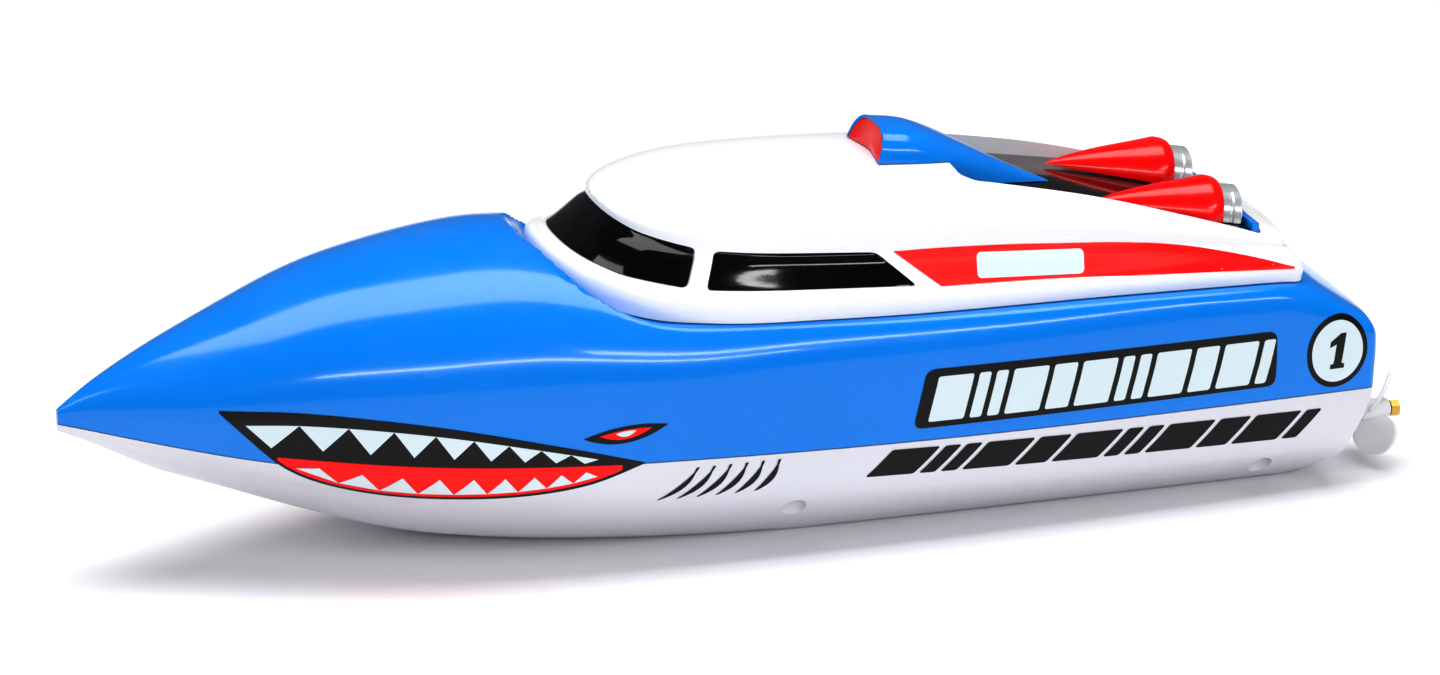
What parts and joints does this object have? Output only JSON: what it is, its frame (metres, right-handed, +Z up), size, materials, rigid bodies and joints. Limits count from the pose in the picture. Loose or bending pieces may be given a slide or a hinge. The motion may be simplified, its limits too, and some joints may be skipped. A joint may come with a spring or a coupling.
{
  "type": "toy rc boat",
  "caption": "Radio-controlled toy speedboat with a domed deck, lift-off cabin cover, air scoop, twin jet cowls and two motor-driven propellers.",
  "frame": {"origin": "on the resting surface, under the middle of the boat's length and beam", "axes": "+X forward to the bow, +Y to port, +Z up"},
  "size_m": [0.349, 0.09, 0.0988],
  "materials": {
    "hull_white": "glossy moulded white",
    "deck_blue": "high-gloss moulded blue",
    "cover_white": "glossy moulded white",
    "window_black": "high-gloss black",
    "red_plastic": "glossy red",
    "nozzle_silver": "bright vacuum-plated silver",
    "white_fitting": "satin white nylon",
    "black_plastic": "satin black",
    "steel": "turned steel",
    "motor_steel": "plated can",
    "brass": "turned brass",
    "seal_rubber": "matte rubber",
    "board_green": "solder-masked board",
    "battery_wrap": "shrink wrap",
    "wire_red": "wire insulation",
    "wire_black": "wire insulation"
  },
  "bodies": {
    "hull": {"hull_shell": "hull_white", "deck_shell": "deck_blue", "hull_screw_fore_port": "steel", "hull_screw_fore_starboard": "steel", "hull_screw_aft_port": "steel", "hull_screw_aft_starboard": "steel", "water_sensor_port": "steel", "water_sensor_starboard": "steel", "hatch_gasket": "seal_rubber", "power_switch_housing": "black_plastic", "battery_tray": "black_plastic", "battery_pack": "battery_wrap", "circuit_board": "board_green", "receiver_chip": "black_plastic", "power_capacitor": "motor_steel", "battery_socket": "white_fitting", "board_post_port": "white_fitting", "board_post_starboard": "white_fitting", "battery_lead": "wire_red", "antenna_wire": "wire_black", "motor_bracket": "black_plastic", "stern_tube_port": "brass", "shaft_gland_port": "white_fitting", "motor_can_port": "motor_steel", "motor_end_cap_port": "white_fitting", "motor_lead_port": "wire_red", "stern_tube_starboard": "brass", "shaft_gland_starboard": "white_fitting", "motor_can_starboard": "motor_steel", "motor_end_cap_starboard": "white_fitting", "motor_lead_starboard": "wire_black"},
    "cover": {"cabin_cover": "cover_white", "windshield": "window_black", "side_window_port": "window_black", "side_window_starboard": "window_black", "engine_tray": "deck_blue", "tray_panel": "window_black", "intake_scoop": "deck_blue", "scoop_insert": "red_plastic", "jet_cowl_port": "red_plastic", "jet_nozzle_port": "nozzle_silver", "jet_cowl_starboard": "red_plastic", "jet_nozzle_starboard": "nozzle_silver"},
    "hatch": {"hatch_lid": "black_plastic"},
    "switch": {"power_switch_slider": "red_plastic"},
    "port_drive": {"propeller_port": "white_fitting", "prop_shaft_port": "steel", "prop_nut_port": "brass", "shaft_coupler_port": "seal_rubber", "motor_shaft_port": "steel"},
    "starboard_drive": {"propeller_starboard": "white_fitting", "prop_shaft_starboard": "steel", "prop_nut_starboard": "brass", "shaft_coupler_starboard": "seal_rubber", "motor_shaft_starboard": "steel"}
  },
  "joints": [
    {"name": "port_propeller_spin", "type": "hinge", "parent": "hull", "child": "port_drive", "pos_m": [-0.16747, 0.02, 0.014], "axis": [0.9976, 0, 0.0698], "continuous": true},
    {"name": "starboard_propeller_spin", "type": "hinge", "parent": "hull", "child": "starboard_drive", "pos_m": [-0.16747, -0.02, 0.014], "axis": [0.9976, 0, 0.0698], "continuous": true},
    {"name": "cover_lift", "type": "slide", "parent": "hull", "child": "cover", "axis": [0, 0, 1], "range_m": [0, 0.09]},
    {"name": "hatch_lift", "type": "slide", "parent": "hull", "child": "hatch", "axis": [0, 0, 1], "range_m": [0, 0.045]},
    {"name": "power_switch_slide", "type": "slide", "parent": "hull", "child": "switch", "axis": [1, 0, 0], "range_m": [0, 0.004]}
  ],
  "couplings": [
    {"joint": "hatch_lift", "follows": "cover_lift", "ratio": 0.5}
  ]
}
